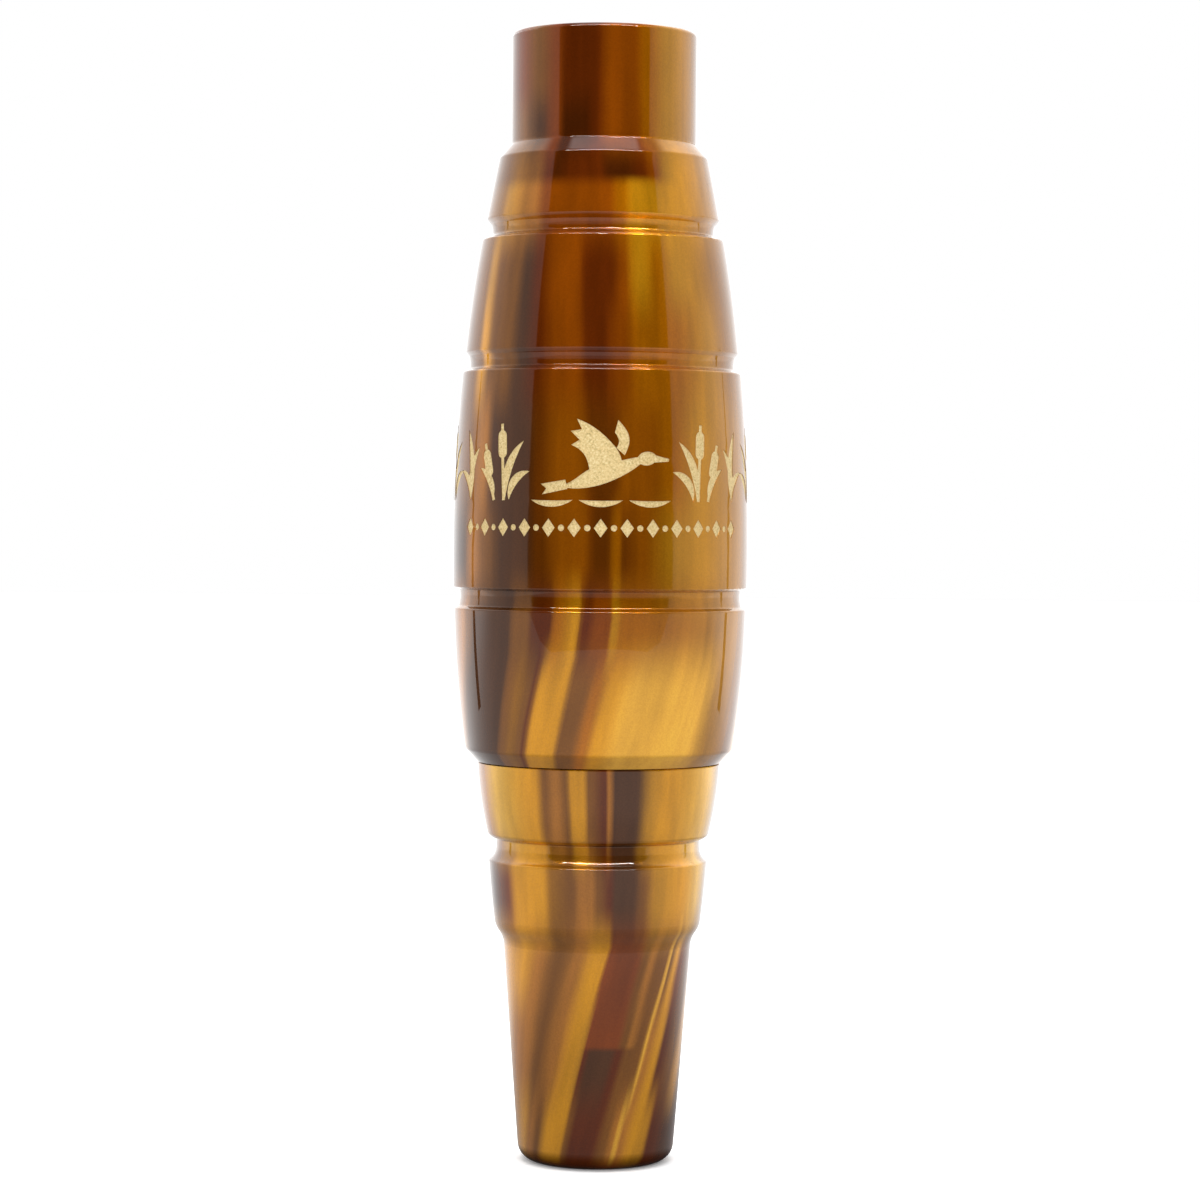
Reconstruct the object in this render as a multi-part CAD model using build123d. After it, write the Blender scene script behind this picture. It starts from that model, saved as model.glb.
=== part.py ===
from build123d import *
import math
import os

# Duck call: a turned acrylic barrel that plugs onto a turned acrylic insert, with the
# tone board, the two reeds and the cork wedge inside.
# Millimetres. +Z runs up the axis from the exhaust end to the mouthpiece, the origin is
# the centre of the exhaust end, and the emblem faces -Y.

# ---- driving dimensions --------------------------------------------------------------

total_height = 136.0
joint_z = 48.2                 # shoulder of the insert that the barrel seats on
seat_gap = 0.08                # hairline between the barrel and that shoulder

# Barrel, outside. Each section runs from its top (z, radius) to its bottom (z, radius)
# and bulges outward by the last value half way along.
mouthpiece_radius = 11.16
mouthpiece_rim_round = 0.55
shoulder_root_z = 122.60
shoulder_section = ((120.90, 12.60), (113.50, 14.05), 0.02)
upper_section = ((111.05, 14.60), (97.55, 16.50), 0.14)
emblem_section = ((95.15, 16.84), (69.30, 17.82), 0.36)
lower_section = ((66.75, 17.66), (49.85, 16.18), 0.24)

# Floors of the grooves between the sections, as (z, radius) at the top, middle and foot.
upper_groove = ((112.85, 13.52), (112.20, 13.38), (111.50, 13.40))
middle_groove = ((97.05, 16.10), (96.30, 15.98), (95.52, 16.00))
lower_groove = ((69.05, 17.02), (68.20, 16.97), (67.15, 17.14))
groove_root_round = 0.4
barrel_foot_radius = 14.72

# Barrel, inside.
barrel_bore_radius = 7.94      # 5/8 inch bore that takes the insert's tenon
mouthpiece_bore_radius = 7.14  # 9/16 inch bore through the mouthpiece
bore_step_z = 118.0
bore_lead_in = 0.5
mouth_lip_round = 1.2

# Insert, outside.
collar_top_radius = 14.66
collar_bottom = (39.60, 13.40)
collar_bulge = 0.19
collar_lip_round = 0.55
lanyard_step = (39.20, 13.00)  # small step above the lanyard groove
lanyard_groove_z = 39.05
lanyard_groove_radius = 12.32
lanyard_floor_end = (37.95, 12.34)
lanyard_cove_middle = (37.15, 12.53)
lanyard_cove_end = (36.48, 13.10)
band_top = (36.32, 13.22)
band_bottom = (29.30, 12.52)
taper_top = (26.30, 11.34)
taper_end_radius = 9.29
end_round = 2.2

# Insert, inside.
exhaust_bore_radius = 5.0
exhaust_bore_depth = 15.1
exhaust_lip_round = 0.9
throat_radius = 3.2
drill_point_depth = 1.1

# Tenon and seals.
tenon_radius = 7.62
tenon_top_z = 66.0
tenon_chamfer = 0.6
ring_groove_radius = 6.32
ring_groove_width = 2.3
ring_heights = {"lower_o_ring": 53.2, "upper_o_ring": 60.6}
ring_inner_radius = 6.36
ring_outer_radius = 7.88
ring_width = 1.9

# Tone board.
socket_bottom_z = 50.0
socket_radius = 4.80
stem_radius = 4.76
block_radius = 7.30
block_gap = 0.1
block_top_z = 79.6
board_tip_z = 113.5
board_tip_radius = 6.1
board_tip_corner = 4.2
face_curve_start_z = 79.0
face_curve_radius = 340.0
slot_bottom_z = 67.0
slot_half_width = 5.4
slot_depth = 3.85
channel_radius = 2.6
channel_start = (0.5, 49.0)    # (y, z) of the channel's axis at the foot of the stem
channel_end = (-0.7, 107.0)    # (y, z) of the channel's axis under the reed tips

# Reeds and wedge.
reed_half_width = 5.1
reed_thickness = 0.3
reed_tail_z = 67.35
reed_tip_corner = 3.4
lower_reed_gap = 0.12
between_reeds = 0.25
lower_reed_tip_z = 112.6
upper_reed_tip_z = 112.0
dimple_radius = 0.8
dimple_height = 0.2
dimple_z = 104.0
wedge_half_width = 5.2
wedge_bottom_z = 67.4
wedge_top_z = 81.0
wedge_front_gap = 0.10
wedge_tail_gap = 0.48
wedge_roof_gap = 0.08
wedge_roof_taper = 0.25

# Engraving.
recess_depth = 0.25
fill_below_surface = 0.06
engraved_zone = (72.5, 92.0)   # lowest and highest z that the cutter reaches
cutter_start = 12.0            # distance from the axis where each cutting prism starts
cutter_length = 8.0
cutter_overshoot = 0.5         # how far the recess tool stands out of the surface
main_row_z = 84.1
duck_z = 83.4
ripple_z = 79.8
border_row_z = 76.55
duck_scale = 1.3
clump_azimuths = (40, 80)
tuft_azimuth = 60.5
ripple_azimuths = (-19, 0, 19)
lozenge_pitch = 10.0           # degrees
lozenge_count = 13


# ---- outlines in the (radius, z) half plane -------------------------------------------

def at(radius, z):
    return Vector(radius, 0, z)


def straight(start, end):
    return Line(at(*start), at(*end))


def bowed(start, end, bulge):
    """An arc from start to end that stands out by bulge at its middle."""
    middle = ((start[0] + end[0]) / 2 + bulge, (start[1] + end[1]) / 2)
    return ThreePointArc(at(*start), at(*middle), at(*end))


def section_edge(section):
    (top_z, top_radius), (bottom_z, bottom_radius), bulge = section
    return bowed((top_radius, top_z), (bottom_radius, bottom_z), bulge)


def outline_point(z_and_radius):
    """Turns a (z, radius) dimension round into a (radius, z) point."""
    z, radius = z_and_radius
    return (radius, z)


def section_top(section):
    return outline_point(section[0])


def section_bottom(section):
    return outline_point(section[1])


def turned(edges, rounds):
    """A solid of revolution about Z. rounds lists (radius, z, fillet) of corners."""
    face = make_face(edges).face()
    for radius, z, size in rounds:
        corner = min(face.vertices(), key=lambda v: (Vector(v) - at(radius, z)).length)
        face = face.fillet_2d(size, [corner])
    return revolve(face, Axis.Z)


# ---- barrel ---------------------------------------------------------------------------

def barrel_outside():
    """Edges from the mouthpiece rim down to the foot, and the corners to round."""
    foot_z = joint_z + seat_gap
    sections = (shoulder_section, upper_section, emblem_section, lower_section)
    grooves = (upper_groove, middle_groove, lower_groove)
    rim = (mouthpiece_radius, total_height)
    shoulder_root = (mouthpiece_radius, shoulder_root_z)
    edges = [
        straight(rim, shoulder_root),
        straight(shoulder_root, section_top(shoulder_section)),
        section_edge(shoulder_section),
    ]
    for above, groove, below in zip(sections, grooves, sections[1:]):
        top, middle, foot = [outline_point(point) for point in groove]
        edges.append(straight(section_bottom(above), top))
        edges.append(ThreePointArc(at(*top), at(*middle), at(*foot)))
        edges.append(straight(foot, section_top(below)))
        edges.append(section_edge(below))
    edges.append(straight(section_bottom(lower_section), (barrel_foot_radius, foot_z)))
    rounds = [
        (*rim, mouthpiece_rim_round),
        (*shoulder_root, 0.5),
        (*section_top(shoulder_section), 0.6),
        (*section_bottom(shoulder_section), 0.25),
        (*section_top(upper_section), 0.35),
        (*section_bottom(upper_section), 0.25),
        (*section_top(emblem_section), 0.35),
        (*section_bottom(emblem_section), 0.2),
        (*section_top(lower_section), 0.25),
        (*section_bottom(lower_section), 0.8),
        (barrel_foot_radius, foot_z, 0.15),
    ]
    rounds += [(*outline_point(groove[-1]), groove_root_round) for groove in grooves]
    return edges, rounds


def make_barrel():
    foot_z = joint_z + seat_gap
    outside, rounds = barrel_outside()
    bore_mouth = (barrel_bore_radius + bore_lead_in, foot_z)
    bore_start = (barrel_bore_radius, foot_z + bore_lead_in)
    step_outer = (barrel_bore_radius, bore_step_z)
    step_inner = (mouthpiece_bore_radius, bore_step_z)
    lip = (mouthpiece_bore_radius, total_height)
    inside = [
        straight((barrel_foot_radius, foot_z), bore_mouth),
        straight(bore_mouth, bore_start),
        straight(bore_start, step_outer),
        straight(step_outer, step_inner),
        straight(step_inner, lip),
        straight(lip, (mouthpiece_radius, total_height)),
    ]
    body = turned(outside + inside, rounds + [(*lip, mouth_lip_round)])
    for tool in engraving_tools(main_motifs() + border_motifs(), cutter_overshoot):
        body -= tool
    return body


# ---- engraving ------------------------------------------------------------------------

def surface_radius(z):
    """Radius of the emblem section at a height, on its bulged outline."""
    (top_z, top_radius), (bottom_z, bottom_radius), bulge = emblem_section
    chord = math.dist((top_radius, top_z), (bottom_radius, bottom_z))
    arc_radius = (chord / 2) ** 2 / (2 * bulge) + bulge / 2
    along = (z - (top_z + bottom_z) / 2) / (top_z - bottom_z)
    on_chord = (top_radius + bottom_radius) / 2 + along * (top_radius - bottom_radius)
    rise = math.sqrt(arc_radius ** 2 - (along * chord) ** 2) - (arc_radius - bulge)
    return on_chord + rise


def skin(inner, outer):
    """The shell between two offsets from the emblem section's surface."""
    low, high = engraved_zone
    middle = (low + high) / 2
    heights = (high, middle, low)
    outer_points = [at(surface_radius(z) + outer, z) for z in heights]
    inner_points = [at(surface_radius(z) + inner, z) for z in heights]
    face = make_face([
        ThreePointArc(*outer_points),
        Line(outer_points[2], inner_points[2]),
        ThreePointArc(*inner_points[::-1]),
        Line(inner_points[0], outer_points[0]),
    ])
    return revolve(face, Axis.Z)


def facing(azimuth, z):
    """Plane through the axis at height z that looks out at azimuth, 0 at the front."""
    a = math.radians(azimuth)
    return Plane(
        origin=(0, 0, z),
        x_dir=(math.cos(a), math.sin(a), 0),
        z_dir=(math.sin(a), -math.cos(a), 0),
    )


def engraving_tools(motifs, outer):
    """Each motif pushed through the skin: azimuth, height and flat drawing."""
    shell = skin(-recess_depth, outer)
    tools = []
    for azimuth, z, drawing in motifs:
        plane = facing(azimuth, z).offset(cutter_start)
        prism = extrude(plane * drawing, amount=cutter_length)
        tools.append(prism & shell)
    return tools


def blade(start, end, bulge, thickness):
    """A leaf between two tips: two arcs that share their ends."""
    sx, sy = start
    ex, ey = end
    length = math.hypot(ex - sx, ey - sy)
    nx, ny = -(ey - sy) / length, (ex - sx) / length
    mx, my = (sx + ex) / 2, (sy + ey) / 2
    outer = (mx + nx * (bulge + thickness / 2), my + ny * (bulge + thickness / 2))
    inner = (mx + nx * (bulge - thickness / 2), my + ny * (bulge - thickness / 2))
    return make_face([
        ThreePointArc(start, outer, end),
        ThreePointArc(end, inner, start),
    ])


def flying_duck():
    """A duck on the wing, flying to the right."""
    back = [(-3.6, -1.5), (-1.2, -0.1), (1.6, 0.75), (3.6, 1.15)]
    belly = [(3.6, 0.55), (1.6, -0.75), (-0.8, -1.6), (-3.6, -1.5)]
    body = make_face([
        Spline(*back, tangents=[(1, 0.25), (1, 0.1)]),
        Line(back[-1], belly[0]),
        Spline(*belly, tangents=[(-0.8, -0.7), (-1, 0.5)]),
    ])
    head = Pos(4.1, 0.98) * Rot(0, 0, 8) * Ellipse(0.85, 0.62)
    bill = make_face(Polyline((4.6, 1.35), (6.1, 0.98), (6.05, 0.72), (4.6, 0.62), close=True))
    tail_corners = [(-3.2, -0.95), (-5.4, -1.35), (-4.9, -1.75), (-5.3, -2.3), (-3.0, -1.8)]
    tail = make_face(Polyline(*tail_corners, close=True))
    near_wing = make_face([
        Spline((1.9, 0.45), (0.9, 2.4), (-2.2, 4.5), tangents=[(-0.1, 1), (-1, 0.35)]),
        Line((-2.2, 4.5), (-1.75, 3.55)),
        Line((-1.75, 3.55), (-2.75, 3.4)),
        Line((-2.75, 3.4), (-1.95, 2.6)),
        Line((-1.95, 2.6), (-2.7, 2.15)),
        Spline((-2.7, 2.15), (-1.4, 1.1), (-1.0, -0.3), tangents=[(1, -0.4), (0.2, -1)]),
        Line((-1.0, -0.3), (1.9, 0.45)),
    ])
    far_wing = make_face([
        Spline((2.1, 1.25), (2.5, 2.8), (1.5, 4.4), tangents=[(0.5, 1), (-0.8, 0.8)]),
        Line((1.5, 4.4), (1.2, 3.3)),
        Spline((1.2, 3.3), (1.55, 2.3), (1.35, 1.9), tangents=[(0.5, -0.7), (-0.4, -0.7)]),
        Line((1.35, 1.9), (2.1, 1.25)),
    ])
    return scale(body + head + bill + tail + near_wing + far_wing, by=duck_scale)


def cattail(height, lean):
    """One bulrush: stalk, seed head and spike, leaning by lean degrees."""
    stalk = Pos(0, height / 2) * Rectangle(0.5, height)
    seed_head = Pos(0, height - 2.4) * SlotOverall(3.3, 1.4, rotation=90)
    return Rot(0, 0, lean) * (stalk + seed_head)


def reed_clump(side):
    """Two bulrushes with leaves. side is 1 or -1 and mirrors the clump."""
    foot = (0.0, -4.4)
    tall = Pos(*foot) * cattail(9.0, -4 * side)
    short = Pos(foot[0] + 1.6 * side, foot[1]) * cattail(6.9, -15 * side)
    leaves = [
        blade((-0.2 * side, -4.4), (-2.7 * side, 2.6), -0.9 * side, 1.15),
        blade((-0.8 * side, -4.4), (-3.6 * side, -1.0), -0.9 * side, 1.05),
        blade((1.8 * side, -4.4), (4.2 * side, -0.6), 0.8 * side, 1.05),
    ]
    drawing = tall + short
    for leaf in leaves:
        drawing += leaf
    return drawing


def grass_tuft(side):
    """Three leaves that fan out from one foot."""
    drawing = blade((0, -4.4), (-1.7 * side, 1.9), -0.8 * side, 1.1)
    drawing += blade((0, -4.4), (1.2 * side, 4.0), 0.7 * side, 1.2)
    drawing += blade((0, -4.4), (2.7 * side, -0.9), 0.9 * side, 1.0)
    return drawing


def ripple(width):
    """One thin wave of the water line."""
    return blade((-width / 2, 0), (width / 2, 0), -0.45, 0.75)


def main_motifs():
    """The wildfowl frieze: a duck in the middle, reeds and grass on both sides."""
    motifs = [(0, duck_z, flying_duck())]
    for side in (-1, 1):
        for azimuth in clump_azimuths:
            motifs.append((azimuth * side, main_row_z, reed_clump(side)))
        motifs.append((tuft_azimuth * side, main_row_z, grass_tuft(side)))
    for azimuth in ripple_azimuths:
        motifs.append((azimuth, ripple_z, ripple(5.2)))
    return motifs


def border_motifs():
    """The small row below: lozenges with a dot between each two."""
    lozenge = make_face(Polyline((-0.8, 0), (0, 1.1), (0.8, 0), (0, -1.1), close=True))
    dot = Circle(0.38)
    motifs = []
    for i in range(lozenge_count):
        azimuth = (i - (lozenge_count - 1) / 2) * lozenge_pitch
        motifs.append((azimuth, border_row_z, lozenge))
        if i < lozenge_count - 1:
            motifs.append((azimuth + lozenge_pitch / 2, border_row_z, dot))
    return motifs


def make_inlay(motifs):
    """The gold fill of some motifs, one solid for each separate stroke."""
    pieces = []
    for tool in engraving_tools(motifs, -fill_below_surface):
        pieces.extend(tool.solids())
    return Compound(pieces)


# ---- insert ---------------------------------------------------------------------------

def insert_outside():
    """Edges from the collar's shoulder down to the exhaust end."""
    shoulder = (collar_top_radius, joint_z)
    collar_foot = outline_point(collar_bottom)
    step_out = outline_point(lanyard_step)
    groove_top = (lanyard_groove_radius, lanyard_groove_z)
    groove_low = outline_point(lanyard_floor_end)
    cove_middle = outline_point(lanyard_cove_middle)
    cove_end = outline_point(lanyard_cove_end)
    band_head = outline_point(band_top)
    band_foot = outline_point(band_bottom)
    taper_start = outline_point(taper_top)
    end = (taper_end_radius, 0)
    middle = ((band_foot[0] + taper_start[0]) / 2, (band_foot[1] + taper_start[1]) / 2)
    edges = [
        bowed(shoulder, collar_foot, collar_bulge),
        straight(collar_foot, step_out),
        straight(step_out, groove_top),
        straight(groove_top, groove_low),
        ThreePointArc(at(*groove_low), at(*cove_middle), at(*cove_end)),
        straight(cove_end, band_head),
        bowed(band_head, band_foot, 0.05),
        bowed(band_foot, middle, 0.12),
        bowed(middle, taper_start, -0.12),
        straight(taper_start, end),
    ]
    rounds = [
        (*shoulder, 0.15),
        (*collar_foot, collar_lip_round),
        (*step_out, 0.2),
        (*groove_top, 0.2),
        (*band_head, 0.15),
        (*band_foot, 0.8),
        (*end, end_round),
    ]
    return edges, rounds


def insert_inside():
    """Edges from the exhaust end up the bores to the top of the tenon."""
    point_z = exhaust_bore_depth + drill_point_depth
    end = (taper_end_radius, 0)
    exhaust_lip = (exhaust_bore_radius, 0)
    exhaust_top = (exhaust_bore_radius, exhaust_bore_depth)
    throat_foot = (throat_radius, point_z)
    throat_top = (throat_radius, socket_bottom_z)
    socket_foot = (socket_radius, socket_bottom_z)
    socket_mouth = (socket_radius, tenon_top_z)
    edges = [
        straight(end, exhaust_lip),
        straight(exhaust_lip, exhaust_top),
        straight(exhaust_top, throat_foot),
        straight(throat_foot, throat_top),
        straight(throat_top, socket_foot),
        straight(socket_foot, socket_mouth),
    ]
    return edges, [(*exhaust_lip, exhaust_lip_round)]


def tenon_outside():
    """Edges from the top of the tenon down over the ring grooves to the shoulder."""
    corners = [(socket_radius, tenon_top_z)]
    corners.append((tenon_radius - tenon_chamfer, tenon_top_z))
    corners.append((tenon_radius, tenon_top_z - tenon_chamfer))
    for z in sorted(ring_heights.values(), reverse=True):
        top = z + ring_groove_width / 2
        bottom = z - ring_groove_width / 2
        corners.append((tenon_radius, top))
        corners.append((ring_groove_radius, top))
        corners.append((ring_groove_radius, bottom))
        corners.append((tenon_radius, bottom))
    corners.append((tenon_radius, joint_z))
    corners.append((collar_top_radius, joint_z))
    return [straight(a, b) for a, b in zip(corners, corners[1:])]


def make_insert():
    outside, outer_rounds = insert_outside()
    inside, inner_rounds = insert_inside()
    return turned(outside + inside + tenon_outside(), outer_rounds + inner_rounds)


def make_o_ring(z):
    """One seal, squeezed between its groove and the barrel's bore."""
    centre_radius = (ring_inner_radius + ring_outer_radius) / 2
    half_thickness = (ring_outer_radius - ring_inner_radius) / 2
    section = Plane.XZ * Pos(centre_radius, z) * Ellipse(half_thickness, ring_width / 2)
    return revolve(section, Axis.Z)


# ---- tone board, reeds and wedge ------------------------------------------------------

def cylinder_between(radius, low, high):
    base = (Align.CENTER, Align.CENTER, Align.MIN)
    return Pos(0, 0, low) * Cylinder(radius, high - low, align=base)


def side_prism(points, half_width):
    """A closed outline of (y, z) points pushed along X to both sides."""
    outline = Polyline(*[(0, y, z) for y, z in points], close=True)
    return extrude(make_face(outline), amount=half_width, dir=(1, 0, 0), both=True)


def board_blank():
    """The long half-round board with its face curving away under the reed tips."""
    drop = (board_tip_z - face_curve_start_z) ** 2 / (2 * face_curve_radius)
    half_way = (board_tip_z - face_curve_start_z) / 2
    start_z = tenon_top_z + block_gap
    start = Vector(0, 0, face_curve_start_z)
    middle = Vector(0, half_way ** 2 / (2 * face_curve_radius), face_curve_start_z + half_way)
    tip = Vector(0, drop, board_tip_z)
    back = block_radius + 1
    side = make_face([
        Line((0, 0, start_z), start),
        ThreePointArc(start, middle, tip),
        Line(tip, (0, back, board_tip_z)),
        Line((0, back, board_tip_z), (0, back, start_z)),
        Line((0, back, start_z), (0, 0, start_z)),
    ])
    slab = extrude(side, amount=back, dir=(1, 0, 0), both=True)
    length = board_tip_z - start_z
    base = (Align.CENTER, Align.CENTER, Align.MIN)
    cone = Pos(0, 0, start_z) * Cone(block_radius, board_tip_radius, length, align=base)
    plan = Plane.XZ * Pos(0, (start_z + board_tip_z) / 2) * Rectangle(2 * block_radius, length)
    tip_corners = plan.vertices().group_by(Axis.Z)[-1]
    plan = fillet(tip_corners, board_tip_corner)
    return slab & cone & extrude(plan, amount=back, both=True)


def make_tone_board():
    stem = cylinder_between(stem_radius, socket_bottom_z + 0.2, tenon_top_z + block_gap)
    block = cylinder_between(block_radius, tenon_top_z + block_gap, block_top_z)
    body = stem + block + board_blank()
    slot_height = block_top_z - slot_bottom_z
    slot_box = Box(2 * slot_half_width, slot_depth, slot_height)
    body -= Pos(0, -slot_depth / 2, slot_bottom_z + slot_height / 2) * slot_box
    y0, z0 = channel_start
    y1, z1 = channel_end
    path = Line((0, y0, z0), (0, y1, z1))
    bore = Plane(origin=path @ 0, z_dir=path % 0) * Cylinder(
        channel_radius, path.length, align=(Align.CENTER, Align.CENTER, Align.MIN)
    )
    body -= bore + Pos(0, y1, z1) * Sphere(channel_radius)
    return body


def reed_blank(under_y, tip_z):
    """A flat strip with a rounded tip. Its face towards the board is at under_y."""
    height = tip_z - reed_tail_z
    outline = Plane.XZ * Pos(0, (tip_z + reed_tail_z) / 2) * Rectangle(2 * reed_half_width, height)
    tip_corners = outline.vertices().group_by(Axis.Z)[-1]
    outline = fillet(tip_corners, reed_tip_corner)
    strip = extrude(outline, amount=reed_thickness)
    return Pos(0, under_y, 0) * strip


def make_reed_lower():
    return reed_blank(-lower_reed_gap, lower_reed_tip_z)


def upper_reed_under():
    return -(lower_reed_gap + reed_thickness + between_reeds)


def make_reed_upper():
    """The top reed has a pressed dimple that keeps it off the lower one."""
    under_y = upper_reed_under()
    ball_radius = (dimple_radius ** 2 + dimple_height ** 2) / (2 * dimple_height)
    centre_y = under_y + dimple_height - ball_radius
    strip = reed_blank(under_y, upper_reed_tip_z)
    bump = Pos(0, centre_y, dimple_z) * Sphere(ball_radius)
    slab = Pos(0, under_y, dimple_z) * Box(4, 2 * reed_thickness, 4)
    hollow = Pos(0, centre_y - reed_thickness, dimple_z) * Sphere(ball_radius)
    return strip + (bump & slab) - hollow


def make_wedge():
    """The cork: flat against the reeds at its front edge, eased over their tails."""
    reed_top = upper_reed_under() - reed_thickness
    front_y = reed_top - wedge_front_gap
    tail_y = reed_top - wedge_tail_gap
    roof_y = -slot_depth + wedge_roof_gap
    points = [
        (front_y, wedge_top_z),
        (tail_y, wedge_bottom_z),
        (roof_y + wedge_roof_taper, wedge_bottom_z),
        (roof_y, wedge_top_z),
    ]
    body = side_prism(points, wedge_half_width)
    return chamfer(body.edges().group_by(Axis.Z)[-1], 0.2)


# ---- write the nodes ------------------------------------------------------------------

os.makedirs("parts", exist_ok=True)

nodes = {
    "barrel": make_barrel(),
    "emblem_inlay": make_inlay(main_motifs()),
    "border_inlay": make_inlay(border_motifs()),
    "insert": make_insert(),
    "tone_board": make_tone_board(),
    "reed_lower": make_reed_lower(),
    "reed_upper": make_reed_upper(),
    "wedge": make_wedge(),
}
for ring_name, ring_z in ring_heights.items():
    nodes[ring_name] = make_o_ring(ring_z)

for node_name, shape in nodes.items():
    export_step(shape, os.path.join("parts", node_name + ".step"))
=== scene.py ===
import math

import bpy
from mathutils import Matrix, Vector


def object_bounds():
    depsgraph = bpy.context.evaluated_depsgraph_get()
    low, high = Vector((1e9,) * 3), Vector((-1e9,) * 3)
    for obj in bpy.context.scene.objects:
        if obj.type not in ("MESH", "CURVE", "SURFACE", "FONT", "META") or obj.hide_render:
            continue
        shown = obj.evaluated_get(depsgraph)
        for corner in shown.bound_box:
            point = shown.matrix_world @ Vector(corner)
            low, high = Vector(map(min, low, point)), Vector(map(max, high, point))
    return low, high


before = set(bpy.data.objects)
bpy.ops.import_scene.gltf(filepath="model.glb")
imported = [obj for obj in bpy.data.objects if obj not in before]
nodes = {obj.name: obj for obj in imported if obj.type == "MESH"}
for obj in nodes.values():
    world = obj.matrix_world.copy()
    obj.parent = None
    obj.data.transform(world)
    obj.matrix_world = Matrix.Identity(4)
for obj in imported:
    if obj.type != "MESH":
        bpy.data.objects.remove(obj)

# Duck call on a white table in a light tent. Metres, CAD frame: +Z up the call's axis,
# the emblem faces -Y, where the camera stands.

cad_low, cad_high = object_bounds()
scene = bpy.context.scene
scene.view_settings.view_transform = "Standard"
scene.view_settings.look = "None"


def link(obj):
    scene.collection.objects.link(obj)
    return obj


# ---- camera ---------------------------------------------------------------------------

CAMERA_DISTANCE = 0.440
CAMERA_HEIGHT = 0.078
AIM_HEIGHT = 0.0678
VIEW_WIDTH = 0.1451          # width of the picture at the call's axis
CAMERA_ROLL = math.radians(0.5)
SENSOR = 36.0


def make_camera():
    data = bpy.data.cameras.new("camera")
    data.sensor_width = SENSOR
    data.clip_start = 0.01
    data.clip_end = 20
    camera = link(bpy.data.objects.new("camera", data))
    place = Vector((0, -CAMERA_DISTANCE, CAMERA_HEIGHT))
    aim = Vector((0, 0, AIM_HEIGHT))
    data.lens = SENSOR * (aim - place).length / VIEW_WIDTH
    look = (aim - place).to_track_quat("-Z", "Y").to_matrix().to_4x4()
    camera.matrix_world = Matrix.Translation(place) @ look @ Matrix.Rotation(CAMERA_ROLL, 4, "Z")
    scene.camera = camera


# ---- node helpers ---------------------------------------------------------------------

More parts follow.
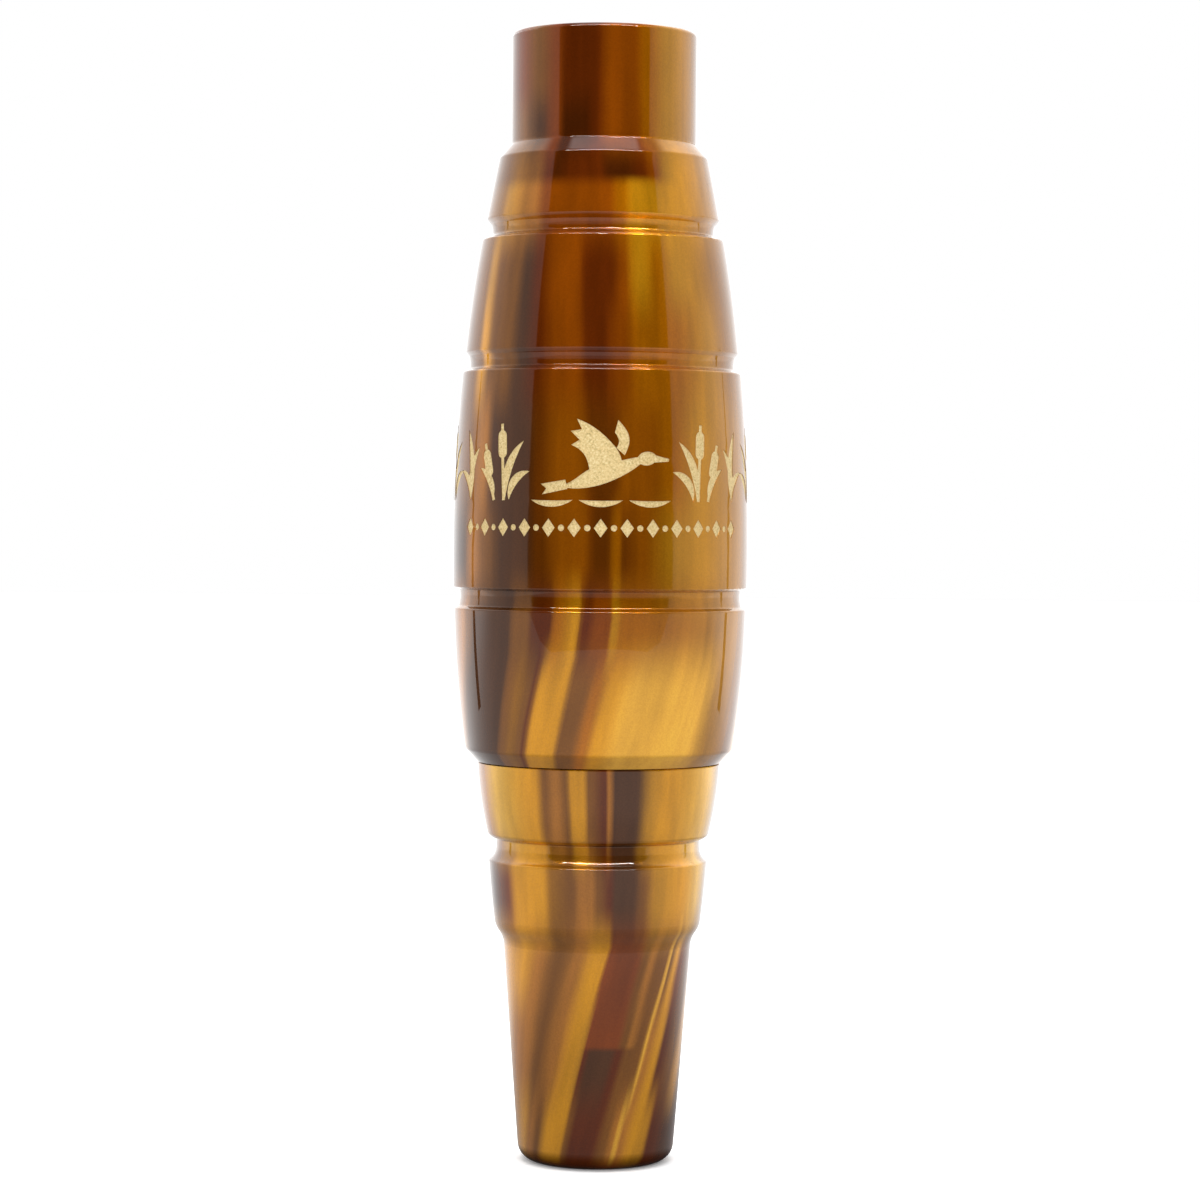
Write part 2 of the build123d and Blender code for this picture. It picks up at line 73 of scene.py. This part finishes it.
class Shader:
    """Builds a node tree. The methods take sockets or plain values."""

    def __init__(self, tree):
        self.tree = tree
        self.tree.nodes.clear()

    def node(self, kind, **settings):
        made = self.tree.nodes.new(kind)
        for key, value in settings.items():
            setattr(made, key, value)
        return made

    def feed(self, socket, value):
        if isinstance(value, bpy.types.NodeSocket):
            self.tree.links.new(value, socket)
        elif value is not None:
            socket.default_value = value

    def place(self):
        """The point in the CAD frame."""
        return self.node("ShaderNodeTexCoord").outputs["Object"]

    def split(self, vector):
        made = self.node("ShaderNodeSeparateXYZ")
        self.feed(made.inputs[0], vector)
        return made.outputs

    def math(self, operation, a, b=None, c=None):
        made = self.node("ShaderNodeMath", operation=operation)
        for socket, value in zip(made.inputs, (a, b, c)):
            self.feed(socket, value)
        return made.outputs[0]

    def round_from_front(self, x, y):
        """Degrees round the Z axis from -Y, positive toward +X."""
        return self.math("DEGREES", self.math("ARCTAN2", x, self.math("MULTIPLY", y, -1.0)))

    def length(self, vector):
        made = self.node("ShaderNodeVectorMath", operation="LENGTH")
        self.feed(made.inputs[0], vector)
        return made.outputs["Value"]

    def streaked(self, vector, squeeze):
        """The vector with its height squeezed, so that noise on it runs in streaks along Z."""
        made = self.node("ShaderNodeVectorMath", operation="MULTIPLY")
        self.feed(made.inputs[0], vector)
        self.feed(made.inputs[1], (1, 1, squeeze))
        return made.outputs[0]

    def step(self, value, low, high, out_low=0.0, out_high=1.0):
        """A smooth step from out_low at low to out_high at high."""
        made = self.node("ShaderNodeMapRange", interpolation_type="SMOOTHSTEP")
        for name, number in (("Value", value), ("From Min", low), ("From Max", high),
                             ("To Min", out_low), ("To Max", out_high)):
            self.feed(made.inputs[name], number)
        return made.outputs["Result"]

    def noise(self, vector, scale, detail=2.0, roughness=0.5):
        made = self.node("ShaderNodeTexNoise")
        self.feed(made.inputs["Vector"], vector)
        self.feed(made.inputs["Scale"], scale)
        self.feed(made.inputs["Detail"], detail)
        self.feed(made.inputs["Roughness"], roughness)
        return made.outputs["Fac"]

    def mix(self, factor, a, b, blend="MIX"):
        made = self.node("ShaderNodeMix", data_type="RGBA", blend_type=blend)
        self.feed(made.inputs["Factor"], factor)
        self.feed(made.inputs[6], a)
        self.feed(made.inputs[7], b)
        return made.outputs[2]

    def blend_value(self, factor, a, b):
        made = self.node("ShaderNodeMix", data_type="FLOAT")
        self.feed(made.inputs["Factor"], factor)
        self.feed(made.inputs[2], a)
        self.feed(made.inputs[3], b)
        return made.outputs[0]

    def grey(self, level):
        made = self.node("ShaderNodeCombineColor")
        for channel in made.inputs:
            self.feed(channel, level)
        return made.outputs[0]

    def ramp(self, factor, stops, interpolation="EASE"):
        """stops is a list of (position, colour with alpha), in order."""
        made = self.node("ShaderNodeValToRGB")
        made.color_ramp.interpolation = interpolation
        elements = made.color_ramp.elements
        while len(elements) < len(stops):
            elements.new(0.5)
        for element, (position, _) in zip(elements, stops):
            element.position = position
        for element, (_, colour) in zip(elements, stops):
            element.color = colour
        self.feed(made.inputs[0], factor)
        return made.outputs["Color"], made.outputs["Alpha"]

    def bump(self, field, strength, distance):
        made = self.node("ShaderNodeBump")
        self.feed(made.inputs["Strength"], strength)
        self.feed(made.inputs["Distance"], distance)
        self.feed(made.inputs["Height"], field)
        return made.outputs["Normal"]

    def emission(self, strength):
        made = self.node("ShaderNodeEmission")
        self.feed(made.inputs["Strength"], strength)
        return made.outputs[0]

    def finish(self, look, kind="ShaderNodeOutputMaterial"):
        self.feed(self.node(kind).inputs["Surface"], look)


def material(name):
    made = bpy.data.materials.new(name)
    made.use_nodes = True
    return made, Shader(made.node_tree)


def surface(shader, **inputs):
    """A Principled surface. Names use _ for spaces."""
    principled = shader.node("ShaderNodeBsdfPrincipled")
    for name, value in inputs.items():
        shader.feed(principled.inputs[name.replace("_", " ")], value)
    shader.finish(principled.outputs[0])


# ---- swirled resin --------------------------------------------------------------------

# Tones of the resin: linear red, green, blue, and how pearly each one is.
TONES = {
    "soot": (0.060, 0.012, 0.001, 0.15),
    "plum": (0.078, 0.026, 0.007, 0.20),
    "umber": (0.115, 0.019, 0.001, 0.20),
    "walnut": (0.125, 0.030, 0.001, 0.20),
    "bark": (0.215, 0.075, 0.008, 0.35),
    "russet": (0.210, 0.042, 0.004, 0.20),
    "amber": (0.260, 0.056, 0.001, 0.25),
    "caramel": (0.260, 0.070, 0.001, 0.25),
    "honey": (0.460, 0.140, 0.001, 0.50),
    "olive": (0.290, 0.110, 0.004, 0.45),
    "copper": (0.440, 0.160, 0.018, 0.40),
    "bronze": (0.430, 0.186, 0.014, 0.42),
    "brass": (0.560, 0.245, 0.010, 0.60),
    "gold": (0.760, 0.325, 0.008, 0.65),
    "wheat": (0.820, 0.445, 0.035, 0.65),
    "straw": (0.960, 0.480, 0.045, 0.65),
}

# Tones round the rod at each height: the height in mm, then degrees round from the front,
# positive to the right of the emblem, and the tone there.
BARREL_BANDS = [
    (130, [(-60, "russet"), (-44, "bark"), (-30, "russet"), (-24, "umber"), (-16, "umber"),
           (-4, "umber"), (3, "amber"), (18, "amber"), (27, "honey"), (42, "brass"), (64, "bronze")]),
    (124, [(-60, "bark"), (-42, "plum"), (-30, "russet"), (-24, "soot"), (-12, "soot"),
           (-5, "umber"), (5, "amber"), (20, "amber"), (27, "honey"), (42, "brass"), (64, "bronze")]),
    (118.2, [(-60, "bark"), (-52, "olive"), (-38, "bark"), (-30, "umber"), (-26, "soot"),
             (-16, "umber"), (-8, "umber"), (-3, "umber"), (3, "soot"), (12, "soot"), (20, "umber"),
             (27, "amber"), (36, "brass"), (44, "gold"), (64, "bronze")]),
    (116.2, [(-60, "olive"), (-54, "brass"), (-38, "copper"), (-30, "amber"), (-12, "amber"),
             (2, "amber"), (9, "honey"), (16, "gold"), (30, "gold"), (42, "gold"), (64, "bronze")]),
    (106, [(-63, "bark"), (-58, "brass"), (-52, "bark"), (-42, "bark"), (-36, "plum"),
           (-30, "umber"), (-20, "amber"), (-12, "amber"), (-7, "umber"),
           (3, "umber"), (9, "amber"), (16, "gold"), (24, "honey"), (34, "brass"), (64, "olive")]),
    (99, [(-63, "bark"), (-58, "gold"), (-51, "bark"), (-42, "bark"), (-36, "plum"),
          (-27, "umber"), (-19, "amber"), (-11, "amber"), (-6, "umber"), (0, "umber"),
          (8, "amber"), (16, "honey"), (30, "honey"), (50, "brass"), (64, "olive")]),
    (84, [(-62, "bark"), (-52, "copper"), (-46, "plum"), (-30, "plum"), (-24, "walnut"),
          (-16, "caramel"), (-9, "caramel"), (-4, "walnut"), (4, "walnut"), (10, "caramel"),
          (20, "caramel"), (28, "honey"), (42, "brass"), (64, "bronze")]),
    (73, [(-66, "plum"), (-57, "copper"), (-50, "bark"), (-39, "plum"), (-29, "plum"),
          (-24, "walnut"), (-15, "caramel"), (-8, "caramel"), (-3, "walnut"), (2, "walnut"),
          (6, "honey"), (9, "walnut"), (16, "caramel"), (30, "brass"), (50, "brass"), (64, "bronze")]),
    (65, [(-68, "copper"), (-62, "bark"), (-57, "plum"), (-37, "plum"), (-34, "bark"), (-29, "bark"),
          (-26, "umber"), (-20, "umber"), (-17, "honey"), (-9, "gold"), (-6.5, "umber"),
          (-4, "umber"), (-1, "amber"), (4, "amber"), (6, "gold"), (9, "honey"), (64, "bronze")]),
    (57, [(-70, "copper"), (-60, "plum"), (-37, "plum"), (-34, "bark"), (-28, "olive"), (-24, "bark"),
          (-22, "umber"), (-19, "gold"), (-9, "gold"), (-6, "bark"), (0, "bark"),
          (5, "honey"), (10, "gold"), (20, "straw"), (50, "straw"), (62, "bronze")]),
]
INSERT_BANDS = [
    (43, [(-72, "copper"), (-58, "wheat"), (-32, "gold"), (-26, "bark"), (-20, "copper"), (-15, "bark"),
          (-12, "gold"), (-7, "gold"), (-4, "bark"), (4, "umber"), (6, "copper"), (8, "plum"),
          (19, "plum"), (26, "brass"), (34, "gold"), (66, "wheat")]),
    (33, [(-74, "plum"), (-56, "russet"), (-46, "gold"), (-30, "gold"), (-24, "olive"), (-14, "bark"),
          (-8, "copper"), (-3, "copper"), (0, "bark"), (7, "umber"), (10, "plum"), (20, "plum"),
          (25, "bark"), (34, "brass"), (50, "gold"), (66, "wheat")]),
    (24, [(-72, "gold"), (-48, "gold"), (-34, "copper"), (-22, "bark"), (-10, "copper"), (1, "gold"),
          (7.5, "gold"), (9, "russet"), (28, "russet"), (34, "bark"), (38, "copper"), (44, "bark"),
          (51, "bark"), (53, "straw"), (55, "bark"), (60, "gold"), (66, "russet")]),
    (15.3, [(-70, "gold"), (-48, "copper"), (-36, "copper"), (-22, "bark"), (-10, "copper"), (3, "gold"),
            (9, "brass"), (11, "russet"), (30, "russet"), (36, "bark"), (40, "copper"), (46, "bark"),
            (50, "bark"), (52, "straw"), (54, "copper"), (63, "gold"), (68, "umber")]),
    (14.4, [(-70, "gold"), (-48, "copper"), (-36, "copper"), (-22, "bark"), (-10, "copper"), (3, "gold"),
            (9, "brass"), (11, "umber"), (16, "plum"), (28, "plum"), (34, "umber"), (40, "bark"),
            (50, "bark"), (52, "straw"), (54, "copper"), (63, "gold"), (68, "umber")]),
    (2.2, [(-62, "gold"), (-30, "gold"), (-22, "copper"), (-14, "bark"), (-4, "gold"), (8, "gold"),
           (12, "bark"), (17, "umber"), (32, "umber"), (40, "bark"), (46, "copper"), (49, "straw"),
           (52, "copper"), (62, "gold"), (70, "gold"), (76, "umber"), (100, "plum")]),
    (0.2, [(-62, "russet"), (-30, "bark"), (-10, "umber"), (32, "umber"), (50, "russet"), (66, "bark"),
           (76, "umber"), (100, "umber")]),
]

# The tones of the far side, beyond the first and the last listed at a height.
BACK = [
    (82, "bark"), (94, "gold"), (112, "umber"), (128, "honey"), (148, "plum"), (163, "russet"),
    (176, "gold"), (-162, "umber"), (-138, "gold"), (-122, "bark"), (-108, "gold"), (-94, "plum"),
]

# Below each height the pattern turns by so many degrees per mm.
BARREL_LEAN = [(66, 0.35), (61.5, 0.5)]
INSERT_LEAN = [(27, 1.45)]

LONGEST_FADE = 4.0           # mm, half the way over which one height's tones turn into the next's
FRONT_WOBBLE = 5.0           # degrees from end to end that the streaks wander at the front
BACK_WOBBLE = 40.0           # and at the back, where y is over BACK_Y
BACK_Y = 0.012
RESIN_IOR = 1.49


def leaning(sh, z_mm, leans):
    """Degrees that the pattern has turned."""
    lean = 0.0
    for from_z, rate in leans:
        below = sh.math("MAXIMUM", sh.math("SUBTRACT", float(from_z), z_mm), 0.0)
        lean = sh.math("MULTIPLY_ADD", below, rate, lean)
    return lean


def turned(sh, place, degrees):
    made = sh.node("ShaderNodeVectorRotate", rotation_type="Z_AXIS")
    sh.feed(made.inputs["Vector"], place)
    sh.feed(made.inputs["Angle"], sh.math("RADIANS", degrees))
    return made.outputs[0]


def all_round(front):
    """The stops of one height with those of the back beyond them, as (share of a turn, tone)."""
    first, last = front[0][0], front[-1][0]
    behind = [stop for stop in BACK if not first <= stop[0] <= last]
    stops = [((degrees + 180) / 360, TONES[tone]) for degrees, tone in sorted(front + behind)]
    seam = tuple((a + b) / 2 for a, b in zip(stops[0][1], stops[-1][1]))
    return [(0.0, seam), *stops, (1.0, seam)]


def banded(sh, round_rod, z_mm, bands):
    """Colour and pearliness all over the rod, faded from each height to the next."""
    colour = pearl = above = None
    for band_z, front in bands:
        here, here_pearl = sh.ramp(round_rod, all_round(front))
        if above is None:
            colour, pearl = here, here_pearl
        else:
            middle = (band_z + above) / 2
            fade = min(LONGEST_FADE, (above - band_z) / 2)
            share = sh.step(z_mm, middle + fade, middle - fade)
            colour = sh.mix(share, colour, here)
            pearl = sh.blend_value(share, pearl, here_pearl)
        above = band_z
    return colour, pearl


def pigment(sh, rod, grain):
    """Lighter and darker: fine threads along the streaks, soft clouds, and the pigment's grain."""
    threads = sh.step(sh.noise(sh.streaked(rod, 0.04), 700.0), 0.25, 0.75, 0.90, 1.1)
    clouds = sh.step(sh.noise(sh.streaked(rod, 0.3), 200.0), 0.3, 0.7, 0.90, 1.1)
    specks = sh.step(grain, 0.3, 0.7, 0.93, 1.07)
    return sh.math("MULTIPLY", sh.math("MULTIPLY", threads, clouds), specks)


def resin(name, bands, leans):
    made, sh = material(name)
    place = sh.place()
    x, y, z = sh.split(place)
    z_mm = sh.math("MULTIPLY", z, 1000.0)
    lean = leaning(sh, z_mm, leans)
    rod = turned(sh, place, lean)

    wander = sh.math("SUBTRACT", sh.noise(sh.streaked(rod, 0.25), 120.0), 0.5)
    wobble = sh.math("MULTIPLY", wander, sh.step(y, 0.0, BACK_Y, FRONT_WOBBLE, BACK_WOBBLE))
    swirl = sh.math("ADD", sh.math("ADD", sh.round_from_front(x, y), lean), wobble)
    # Half a turn puts the front in the middle of the ramp, and a whole one keeps it positive.
    round_rod = sh.math("FRACT", sh.math("DIVIDE", sh.math("ADD", swirl, 180.0 + 360.0), 360.0))

    grain = sh.noise(place, 5500.0, 1.0)
    colour, pearl = banded(sh, round_rod, z_mm, bands)
    surface(
        sh,
        Base_Color=sh.mix(1.0, colour, sh.grey(pigment(sh, rod, grain)), "MULTIPLY"),
        Metallic=pearl,
        Roughness=0.27,
        IOR=RESIN_IOR,
        Specular_IOR_Level=0.0,
        Normal=sh.bump(grain, 0.10, 0.00002),
        Coat_Weight=1.0,
        Coat_Roughness=0.012,
        Coat_IOR=RESIN_IOR,
    )
    return made


# ---- other materials ------------------------------------------------------------------

def gold_fill():
    made, sh = material("gold_fill")
    place = sh.place()
    grain = sh.noise(place, 4200.0, 3.0, 0.7)
    coarse = sh.noise(place, 900.0, 2.0)
    colour, _ = sh.ramp(grain, [(0.3, (0.52, 0.36, 0.13, 1)), (0.5, (0.80, 0.60, 0.27, 1)),
                                (0.7, (0.95, 0.80, 0.46, 1))])
    colour = sh.mix(sh.step(coarse, 0.4, 0.7, 0.0, 0.35), colour, (0.88, 0.66, 0.30, 1))
    surface(
        sh,
        Base_Color=colour,
        Metallic=0.25,
        Roughness=sh.step(grain, 0.3, 0.7, 0.65, 0.45),
        Normal=sh.bump(grain, 0.5, 0.00004),
    )
    return made


def seal_rubber():
    made, sh = material("seal_rubber")
    speck = sh.noise(sh.place(), 2500.0, 3.0)
    colour, _ = sh.ramp(speck, [(0.3, (0.012, 0.012, 0.013, 1)), (0.7, (0.03, 0.03, 0.03, 1))])
    surface(sh, Base_Color=colour, Roughness=sh.step(speck, 0.3, 0.7, 0.38, 0.55),
            Normal=sh.bump(speck, 0.25, 0.00003))
    return made


def board_plastic():
    made, sh = material("board_plastic")
    place = sh.place()
    marks = sh.noise(sh.streaked(place, 0.03), 3500.0, 2.0)
    mottle = sh.noise(place, 500.0, 3.0)
    colour, _ = sh.ramp(mottle, [(0.35, (0.018, 0.018, 0.019, 1)), (0.65, (0.034, 0.033, 0.032, 1))])
    surface(sh, Base_Color=colour, Roughness=sh.step(marks, 0.35, 0.65, 0.32, 0.5),
            Normal=sh.bump(marks, 0.2, 0.00003))
    return made


def reed_film():
    made, sh = material("reed_film")
    place = sh.place()
    haze = sh.noise(place, 350.0, 3.0)
    scratches = sh.noise(sh.streaked(place, 0.02), 5000.0, 2.0)
    colour, _ = sh.ramp(haze, [(0.35, (0.66, 0.68, 0.64, 1)), (0.65, (0.78, 0.79, 0.74, 1))])
    surface(sh, Base_Color=colour, Roughness=sh.step(scratches, 0.3, 0.7, 0.16, 0.34), IOR=1.6,
            Transmission_Weight=0.55, Normal=sh.bump(scratches, 0.08, 0.00002))
    return made


def cork():
    made, sh = material("cork")
    place = sh.place()
    cells = sh.node("ShaderNodeTexVoronoi", feature="F1")
    sh.feed(cells.inputs["Vector"], place)
    sh.feed(cells.inputs["Scale"], 1100.0)
    pores = sh.noise(place, 1700.0, 4.0, 0.65)
    granule, _ = sh.ramp(cells.outputs["Color"], [(0.2, (0.40, 0.24, 0.12, 1)), (0.8, (0.62, 0.42, 0.23, 1))])
    colour = sh.mix(sh.step(pores, 0.58, 0.66), granule, (0.10, 0.05, 0.025, 1))
    surface(sh, Base_Color=colour, Roughness=0.85,
            Normal=sh.bump(sh.math("ADD", cells.outputs["Distance"], pores), 0.6, 0.0001))
    return made


# ---- studio ---------------------------------------------------------------------------

# The tent round the call: degrees from the front, and brightness. The opening in front is dark.
TENT_WALL = [(0, 0.004), (57.3, 0.004), (58.3, 0.50), (90, 0.70), (118, 1.2), (180, 1.9)]
# Over and under the wall: from and to degrees above the horizon, and the brightness from there on.
TENT_ROOF = [(52.0, 60.0, 0.3), (68.0, 72.0, 2.0), (-1.0, -6.0, 0.4)]

# Steps in the table's painted light and shade: from and to metres, and the brightness at each.
TABLE_FOOT_SHADE = (0.009, 0.018, 0.03, 0.42)      # out from the call's axis: painted shade round the foot in the table's glow
TABLE_FAR = (0.03, 0.14, 0.0, 0.40)          # out from the call's axis
TABLE_BEHIND = (0.0, 0.30, 0.0, 0.80)        # toward +Y
FOOT_SHADOW = (0.007, 0.014, 0.10, 0.80)     # out from the call's axis, on the floor: the floor's glow dimmed round the foot, a painted contact shadow

FLOOR_HALF = 3.0
TABLE_REACH = 0.425          # the table ends this far in front of the call
TABLE_ARC = range(-38, 39, 4)
TABLE_RIGHT = [(0.62, -0.40), (2.0, -0.45), (2.0, 2.0)]
TABLE_Z = -0.001             # just under the floor

TUBE_Y = -0.30               # the lamp: a frame of LED tubes above and in front
TUBE_Z = 0.46
TUBE_HALF_WIDTH = 0.25
TUBE_THICK = 0.028
TUBE_GAP = 0.01
SIDE_TUBE_LENGTH = 0.07
TUBE_GLOW = 60.0

STAND_AZIMUTH = 115          # degrees from the front
STAND_DISTANCE = 0.34
STAND_HEIGHT = 0.15
STAND_HALF_WIDTH = 0.013
STAND_GLOW = 0.03


def area_light(name, place, aim, size, watts):
    """A soft light that the polish doesn't mirror."""
    data = bpy.data.lights.new(name, "AREA")
    data.shape = "RECTANGLE"
    data.size, data.size_y = size
    data.energy = watts
    light = link(bpy.data.objects.new(name, data))
    light.location = place
    light.rotation_euler = (Vector(aim) - Vector(place)).to_track_quat("-Z", "Y").to_euler()
    light.visible_glossy = False
    light.visible_camera = False


def sheet(name, corners, paint):
    mesh = bpy.data.meshes.new(name)
    mesh.from_pydata(corners, [], [tuple(range(len(corners)))])
    mesh.materials.append(paint)
    made = link(bpy.data.objects.new(name, mesh))
    return made


def mirrored_card(name, corners, strength):
    """A glowing sheet that only the polish sees."""
    glow, sh = material(name + "_glow")
    sh.finish(sh.emission(strength))
    card = sheet(name, corners, glow)
    card.visible_camera = False
    card.visible_diffuse = False
    card.visible_shadow = False


def make_world():
    """The tent: bright walls at the sides and back, a dark opening in front."""
    world = bpy.data.worlds.new("tent")
    scene.world = world
    world.use_nodes = True
    sh = Shader(world.node_tree)
    dx, dy, dz = sh.split(sh.node("ShaderNodeTexCoord").outputs["Generated"])
    off_front = sh.math("ABSOLUTE", sh.round_from_front(dx, dy))
    rise = sh.math("DEGREES", sh.math("ARCSINE", dz))
    stops = [(degrees / 180, (level, level, level, 1)) for degrees, level in TENT_WALL]
    tent, _ = sh.ramp(sh.math("DIVIDE", off_front, 180.0), stops, "LINEAR")
    for start, end, level in TENT_ROOF:
        tent = sh.mix(sh.step(rise, start, end), tent, (level, level, level, 1))
    camera_ray = sh.node("ShaderNodeLightPath").outputs["Is Camera Ray"]
    background = sh.node("ShaderNodeBackground")
    sh.feed(background.inputs["Color"], sh.mix(camera_ray, tent, (1.0, 1.0, 1.0, 1)))
    sh.finish(background.outputs[0], "ShaderNodeOutputWorld")


def make_floor():
    """The table as the camera sees it: a glowing white sheet whose glow is cut round the foot as a painted
    contact shadow, on top of the real shadow the lamps cast.
    """
    paint, sh = material("floor_white")
    surface(
        sh,
        Base_Color=(0.9, 0.9, 0.9, 1),
        Roughness=0.9,
        Emission_Color=(1, 1, 1, 1),
        # painted shadow: the glow falls toward the foot
        Emission_Strength=sh.step(sh.length(sh.place()), *FOOT_SHADOW),
    )
    r = FLOOR_HALF
    floor = sheet("floor", [(-r, -r, 0), (r, -r, 0), (r, r, 0), (-r, r, 0)], paint)
    floor.visible_glossy = False
    floor.visible_diffuse = False


def make_lit_table():
    """The table as the call sees it: a sheet glowing in place of the lit table, painted light, with painted
    shade round the foot, brighter further out and behind.
    """
    glow, sh = material("lit_table_glow")
    place = sh.place()
    away = sh.length(place)
    # painted shade: the glow is dim round the foot
    near = sh.step(away, *TABLE_FOOT_SHADE)
    far = sh.step(away, *TABLE_FAR)
    behind = sh.step(sh.split(place)[1], *TABLE_BEHIND)
    sh.finish(sh.emission(sh.math("ADD", sh.math("ADD", near, far), behind)))

    arc = [math.radians(degrees) for degrees in TABLE_ARC]
    front = [(TABLE_REACH * math.sin(a), -TABLE_REACH * math.cos(a)) for a in arc]
    left = [(-x, y) for x, y in reversed(TABLE_RIGHT)]
    card = sheet("lit_table", [(x, y, TABLE_Z) for x, y in front + TABLE_RIGHT + left], glow)
    card.visible_camera = False
    card.visible_shadow = False


def make_lamp():
    """One tube across, and a short one going back past each end."""
    x, y, z = TUBE_HALF_WIDTH, TUBE_Y, TUBE_Z
    back = y + TUBE_THICK
    mirrored_card("front_tube", [(-x, y, z), (x, y, z), (x, back, z), (-x, back, z)], TUBE_GLOW)
    near = y + 0.2 * TUBE_THICK
    far = y + SIDE_TUBE_LENGTH
    for side in (-1, 1):
        inner = side * (x + TUBE_GAP)
        outer = side * (x + TUBE_GAP + TUBE_THICK)
        corners = [(inner, near, z), (outer, near, z), (outer, far, z), (inner, far, z)]
        mirrored_card("side_tube", corners, TUBE_GLOW)


def make_stands():
    """A dark stand on the table at each side, narrow at the top."""
    for side in (-1, 1):
        a = math.radians(STAND_AZIMUTH * side)
        across = Vector((math.cos(a), math.sin(a), 0)) * STAND_HALF_WIDTH
        foot = Vector((math.sin(a), -math.cos(a), 0)) * STAND_DISTANCE
        top = foot + Vector((0, 0, STAND_HEIGHT))
        corners = [foot - across, foot + across, top + across / 6, top - across / 6]
        mirrored_card("side_stand", corners, STAND_GLOW)


# ---- put it together ------------------------------------------------------------------

def dress(node, paint):
    mesh = nodes[node].data
    mesh.materials.clear()
    mesh.materials.append(paint)


make_camera()
make_world()
make_floor()
make_lit_table()
make_lamp()
make_stands()
area_light("overhead", place=(0, -0.12, 0.62), aim=(0, 0, 0.05), size=(0.36, 0.26), watts=1.4)
area_light("front_fill", place=(0, -0.9, 0.35), aim=(0, 0, cad_high.z / 2), size=(0.8, 0.6), watts=5.6)

dress("barrel", resin("barrel_resin", BARREL_BANDS, BARREL_LEAN))
dress("insert", resin("insert_resin", INSERT_BANDS, INSERT_LEAN))
gold = gold_fill()
dress("emblem_inlay", gold)
dress("border_inlay", gold)
rubber = seal_rubber()
dress("upper_o_ring", rubber)
dress("lower_o_ring", rubber)
dress("tone_board", board_plastic())
film = reed_film()
dress("reed_lower", film)
dress("reed_upper", film)
dress("wedge", cork())
